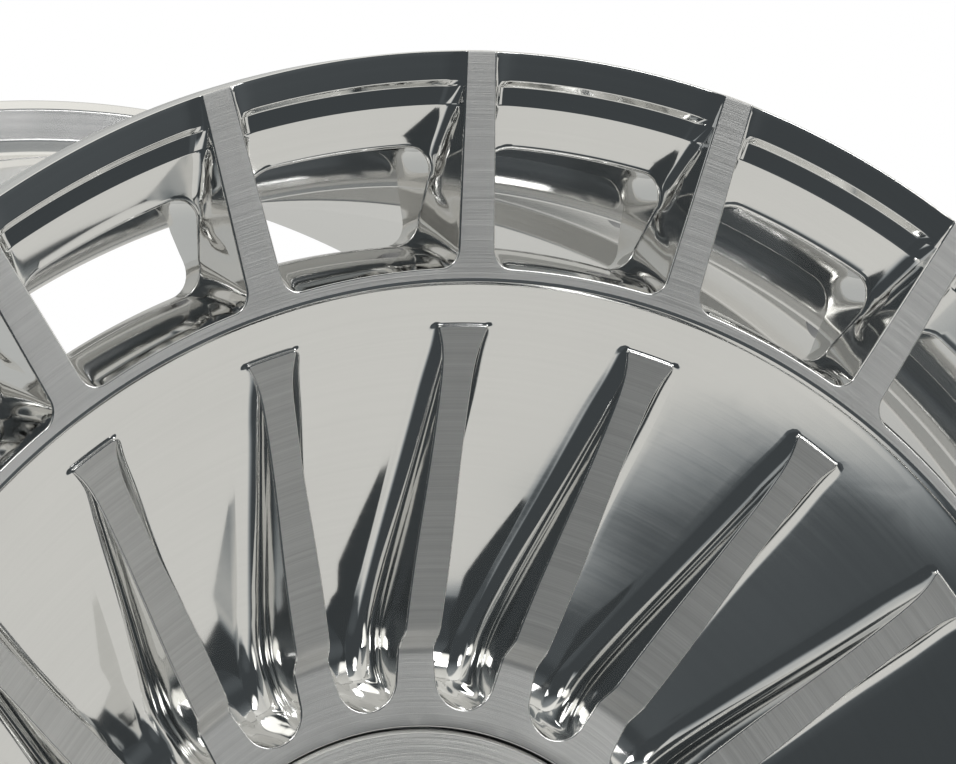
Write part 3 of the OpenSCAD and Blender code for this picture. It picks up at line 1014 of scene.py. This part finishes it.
v, f = torus(228, 1.0, -97.5, 336, 14)
piece("barrel_seal_visual", "barrel_seal", "wheel", M_RUBBER, v, f)
v, f = torus(74.82, 1.0, -83, 252, 14)
piece("cap_seal_ring_visual", "cap_seal_ring", "cap", M_RUBBER, v, f)
g = 4.2 / 74.85
v, f = torus(74.85, 0.9, -78, 252, 14, math.pi + g, 3 * math.pi - g)
piece("cap_spring_ring_visual", "cap_spring_ring", "cap", M_BOLT, v, f)


def at_bolt(i, r=221.3):
    a = 2 * math.pi * i / N
    return (r * math.sin(a), 0.0, r * math.cos(a))


def hex_point(k, n, apothem):
    """Point k of n round a hexagon."""
    a = 2 * math.pi * k / n
    s = (a + math.pi / 6) % (math.pi / 3) - math.pi / 6
    r = apothem / math.cos(s)
    return r * math.sin(a), r * math.cos(a)


bolts = Batch()
for i in range(N):
    c = at_bolt(i)
    n = 48
    rings = []
    for r, y in rounded([(2.0, -106.5), (2.95, -105.6, 0.2), (2.95, -90.3, 0.15), (4.9, -90.3, 0.3), (4.9, -84.9, 0.5), (4.3, -84.3, 0.3), (3.3, -84.3)], n=3):
        rings.append([(c[0] + r * math.sin(2 * math.pi * k / n), y, c[2] + r * math.cos(2 * math.pi * k / n)) for k in range(n)])
    for ap, y in ((2.62, -84.3), (2.5, -84.45), (2.5, -87.3)):
        rings.append([(c[0] + hex_point(k, n, ap)[0], y, c[2] + hex_point(k, n, ap)[1]) for k in range(n)])
    vs = [tuple(x * MM for x in p) for ring in rings for p in ring]
    fs = []
    for a in range(len(rings) - 1):
        for k in range(n):
            q = (k + 1) % n
            fs.append((a * n + k, a * n + q, (a + 1) * n + q, (a + 1) * n + k))
    fs.append(tuple(range(n)))
    fs.append(tuple((len(rings) - 1) * n + k for k in range(n)))
    bolts.add(vs, fs)
piece("barrel_bolts_visual", "barrel_bolts", "wheel", M_BOLT, bolts.v, bolts.f)

wash = Batch()
ins = Batch()
for i in range(N):
    v, f = turn(rounded([(3.2, -91.5, 0.12), (5.0, -91.5, 0.12), (5.0, -90.3, 0.2), (3.2, -90.3, 0.2)], n=2, closed=True), 40, centre=at_bolt(i))
    wash.add(v, f)
    thread = [(3.0 + (0.12 if k % 2 else 0.0), -98.7 - 0.45 * k) for k in range(19)]
    v, f = turn([(4.2, -98.5), (4.5, -98.8), (4.5, -107.2), (4.2, -107.5), (3.2, -107.5)] + thread[::-1] + [(3.2, -98.5)], 40, centre=at_bolt(i))
    ins.add(v, f)
piece("barrel_bolt_washers_visual", "barrel_bolt_washers", "wheel", M_BOLT, wash.v, wash.f)
piece("thread_inserts_visual", "thread_inserts", "wheel", M_INSERT, ins.v, ins.f)

seats = Batch()
for c in lug_at:
    v, f = turn(rounded([(7.8, -46.5, 0.2), (11.2, -52.45, 0.2), (12.5, -52.45, 0.2), (12.5, -41.0, 0.2), (7.8, -41.0, 0.2)], n=3, closed=True), 64, centre=(c[0], 0, c[1]))
    seats.add(v, f)
piece("lug_seat_inserts_visual", "lug_seat_inserts", "wheel", M_INSERT, seats.v, seats.f)

# valve
VC = (0.0, -64.0, 0.0)
thread = []
for k in range(16):
    z = -186.9 - k * 0.58
    thread += [(3.95, z), (3.72, z - 0.29)]
stem = ([(1.6, -229), (6.8, -229), (7.5, -228.7), (7.8, -228.2), (7.8, -226.2), (7.6, -226.0), (4.0, -226.0), (4.0, -196.6)]
        + thread[::-1] + [(3.6, -186.2), (3.3, -186.0), (2.75, -186.0), (2.65, -186.15), (2.65, -206.0), (1.7, -206.0), (1.6, -206.2)])
v, f = turn(stem, 48, axis="z", centre=VC)
piece("valve_stem_visual", "valve_stem", "wheel", M_VALVE, v, f)


def ring_piece(name, node, mat, r1, r0, z0, z1, rnd, n=48, body="wheel"):
    v, f = turn(rounded([(r0, z0, rnd), (r1, z0, rnd), (r1, z1, rnd), (r0, z1, rnd)], n=3, closed=True), n, axis="z", centre=VC)
    return piece(name, node, body, mat, v, f)


ring_piece("valve_grommet_visual", "valve_grommet", M_RUBBER, 7.5, 4.05, -226, -224.2, 0.5)
ring_piece("valve_washer_visual", "valve_washer", M_VALVE, 7.5, 4.1, -220.2, -219.2, 0.15)
ring_piece("valve_core_gasket_visual", "valve_core_gasket", M_PLASTIC, 2.6, 1.3, -196, -194, 0.3, 32)
ring_piece("valve_core_cup_visual", "valve_core_cup", M_RUBBER, 2.2, 0.55, -198.3, -196.05, 0.4, 32, "valve_pin")

n = 72
rings = []
for ap, z in ((5.2, -219.2), (5.85, -218.95), (6.0, -218.7), (6.0, -214.9), (5.8, -214.45), (5.0, -214.2)):
    ring = []
    for k in range(n):
        x, y = hex_point(k, n, ap)
        r = math.hypot(x, y)
        lim = 6.93 - max(0.0, 0.7 * abs(z + 216.7) - 1.1)
        s = min(1.0, lim / r)
        ring.append((x * s, y * s - 64, z))
    rings.append(ring)
for r, z in ((4.5, -214.2), (4.15, -214.5), (4.05, -214.8), (4.05, -218.7), (4.2, -219.1), (4.4, -219.2)):
    rings.append([(r * math.sin(2 * math.pi * k / n), r * math.cos(2 * math.pi * k / n) - 64, z) for k in range(n)])
vs = [tuple(x * MM for x in p) for ring in rings for p in ring]
fs = []
for a in range(len(rings)):
    b2 = (a + 1) % len(rings)
    for k in range(n):
        q = (k + 1) % n
        fs.append((a * n + k, a * n + q, b2 * n + q, b2 * n + k))
piece("valve_nut_visual", "valve_nut", "wheel", M_VALVE, vs, fs)

# valve cap: knurled sleeve with a crowned end
n = 144
rings = []
for r, z, kn in ((4.1, -197.4, 0), (4.5, -197.35, 0), (4.75, -197.0, 0), (4.8, -196.2, 0), (4.78, -195.6, 0.5), (4.78, -195.2, 1), (4.78, -186.2, 1), (4.72, -185.6, 0.6),
                 (4.6, -185.0, 0), (4.4, -184.0, 0), (3.9, -183.2, 0), (3.0, -182.9, 0), (1.5, -182.8, 0), (0.4, -182.8, 0)):
    rings.append([((r + kn * 0.2 * math.cos(12 * 2 * math.pi * k / n)) * math.sin(2 * math.pi * k / n),
                   (r + kn * 0.2 * math.cos(12 * 2 * math.pi * k / n)) * math.cos(2 * math.pi * k / n) - 64, z) for k in range(n)])
inner = [(4.1, -197.4), (4.05, -197.2), (4.05, -186.0), (4.0, -185.9), (4.0, -184.9), (3.8, -184.85), (0.4, -184.85)]
for r, z in inner:
    rings.insert(0, [(r * math.sin(2 * math.pi * k / n), r * math.cos(2 * math.pi * k / n) - 64, z) for k in range(n)])
rings = rings[:len(inner)] + rings[len(inner) + 1:]
vs = [tuple(x * MM for x in p) for ring in rings for p in ring]
fs = []
for a in range(len(rings) - 1):
    for k in range(n):
        q = (k + 1) % n
        fs.append((a * n + k, a * n + q, (a + 1) * n + q, (a + 1) * n + k))
fs.append(tuple(range(n)))
fs.append(tuple((len(rings) - 1) * n + k for k in range(n)))
piece("valve_cap_visual", "valve_cap", "valve_cap", M_VALVE, vs, fs)

# the rest of the valve keeps its CAD shape, with its own finish
for node, mat in (("valve_core_body", M_BRASS), ("valve_core_pin", M_BRASS), ("valve_core_spring", M_BOLT), ("valve_cap_seal", M_RUBBER)):
    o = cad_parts[node]
    if not o.material_slots:
        o.data.materials.append(mat)
    for s in o.material_slots:
        s.material = mat

# ------------------------------------------------------------------ camera
rv = np.array([-0.0171, 0.4897, 0.0])
th = float(np.linalg.norm(rv))
k = rv / th
K = np.array([[0, -k[2], k[1]], [k[2], 0, -k[0]], [-k[1], k[0], 0]])
rot = np.eye(3) + math.sin(th) * K + (1 - math.cos(th)) * K @ K
tv = np.array([0.0125, -0.67, -7.7553])
pos = (-tv) @ rot
roll = math.radians(0.29)
cr, sr = math.cos(roll), math.sin(roll)


def to_world(v):
    """Calibration axes (x right, y up, z to the viewer) to the row frame, with the rib turned to the top."""
    x, y, z = v
    x, y = x * cr + y * sr, -x * sr + y * cr
    return Vector((x, -z, y))


loc = to_world(pos) * (RIM * MM) + Vector((0, -0.132, 0))
right, up, back = (to_world(rot[i]) for i in range(3))
cam_data = bpy.data.cameras.new("camera")
cam = bpy.data.objects.new("camera", cam_data)
bpy.context.scene.collection.objects.link(cam)
m = Matrix.Identity(4)
for i in range(3):
    m[i][0], m[i][1], m[i][2], m[i][3] = right[i], up[i], back[i], loc[i]
cam.matrix_world = m
cam_data.sensor_fit = "HORIZONTAL"
cam_data.sensor_width = 36.0
cam_data.lens = 7815.7 / 956 * 36.0
cam_data.clip_start = 0.05
cam_data.clip_end = 60
bpy.context.scene.camera = cam

# ------------------------------------------------------------------ floor and light
floor_v, floor_f = turn([(0.001, 0.0), (4000.0, 0.0), (12000.0, 0.0)], 96, closed=False, axis="z", centre=(0, 0, -248.6))
mat, g = material("mat_floor", 0.0)
co = g.new("ShaderNodeTexCoord").outputs["Object"]
a = g.noise(co, 3.0, 3.0)
g.link(g.ramp(a, [(0.3, (0.90, 0.90, 0.90)), (0.7, (0.93, 0.93, 0.93))]), g.bsdf.inputs["Base Color"])
g.link(g.span(a, 0.55, 0.65), g.bsdf.inputs["Roughness"])
floor = add_object("floor", floor_v, floor_f, None, [mat])
floor.visible_glossy = False


def softbox(name, where, target, size, power, colour=(1, 1, 1)):
    data = bpy.data.lights.new(name, "AREA")
    data.shape = "RECTANGLE"
    data.size, data.size_y = size
    data.energy = power
    data.color = colour
    o = bpy.data.objects.new(name, data)
    bpy.context.scene.collection.objects.link(o)
    o.location = where
    o.rotation_euler = (Vector(target) - Vector(where)).to_track_quat("-Z", "Y").to_euler()
    return o


softbox("key", (1.7, -2.4, 0.9), (0, 0, 0), (0.7, 0.7), 9)
softbox("fill", (-0.5, -2.4, 1.9), (0, 0, 0), (0.5, 0.5), 5)

world = bpy.data.worlds.new("studio")
bpy.context.scene.world = world
world.use_nodes = True
wt = world.node_tree
for n_ in list(wt.nodes):
    wt.nodes.remove(n_)


class W(Nodes):
    def __init__(self, tree):
        self.t, self.n = tree, tree.nodes


g = W(wt)
dirn = g.new("ShaderNodeTexCoord").outputs["Generated"]


def lobe(direction, near, far, level):
    """Soft round patch of light: level inside the angle near (degrees), nothing beyond far."""
    d = Vector(direction).normalized()
    dot = g.new("ShaderNodeVectorMath")
    dot.operation = "DOT_PRODUCT"
    g.link(dirn, dot.inputs[0])
    dot.inputs[1].default_value = d
    node = g.new("ShaderNodeMapRange")
    node.interpolation_type = "SMOOTHSTEP"
    node.inputs[1].default_value = math.cos(math.radians(far))
    node.inputs[2].default_value = math.cos(math.radians(near))
    node.inputs[3].default_value, node.inputs[4].default_value = 0.0, level
    g.link(dot.outputs["Value"], node.inputs[0])
    return node.outputs[0]


# Pale surroundings with one large dark area in front of the wheel, which the polished faces turn dark in
dark = lobe((0.25, -0.968, 0.0), 48.6, 52.6, 1.0)
dark = g.math("MAXIMUM", dark, lobe((-0.744, -0.447, -0.496), 32, 47.5, 1.0))
level = g.math("SUBTRACT", 1.0, dark)
level = g.math("MULTIPLY", level, 0.62)
# a dimmer patch behind the wheel and a lighter one above it
for p in (lobe((0.45, 0.30, -0.84), 14, 24, -0.64), lobe((-0.35, 0.9, 0.1), 10, 70, -0.16), lobe((0.3, -0.2, 0.95), 20, 50, 0.25), lobe((-0.97, -0.1, -0.2), 5, 60, -0.40),
          lobe((0.75, -0.62, 0.25), 6, 12, 1.6), lobe((-0.25, -0.85, 0.5), 5, 10, 1.6),
          lobe((0.62, -0.78, 0.05), 2, 22, 0.05), lobe((0.05, -0.80, -0.60), 2, 20, 0.03)):
    level = g.math("ADD", level, p)
level = g.math("MAXIMUM", level, 0.0)
level = g.math("ADD", level, 0.066)
mixc = g.new("ShaderNodeMix")
mixc.data_type = "RGBA"
g.link(g.math("MULTIPLY", level, 1.5, clamp=True), mixc.inputs[0])
mixc.inputs[6].default_value = (0.80, 0.92, 1.0, 1)
mixc.inputs[7].default_value = (1.0, 0.99, 0.945, 1)
bg1 = g.new("ShaderNodeBackground")
g.link(mixc.outputs[2], bg1.inputs[0])
g.link(level, bg1.inputs[1])
bg2 = g.new("ShaderNodeBackground")
bg2.inputs[0].default_value = (1, 1, 1, 1)
bg2.inputs[1].default_value = 1.0
path = g.new("ShaderNodeLightPath")
mixs = g.new("ShaderNodeMixShader")
g.link(path.outputs["Is Camera Ray"], mixs.inputs[0])
g.link(bg1.outputs[0], mixs.inputs[1])
g.link(bg2.outputs[0], mixs.inputs[2])
out = g.new("ShaderNodeOutputWorld")
g.link(mixs.outputs[0], out.inputs[0])

bpy.context.scene.view_settings.view_transform = "Standard"
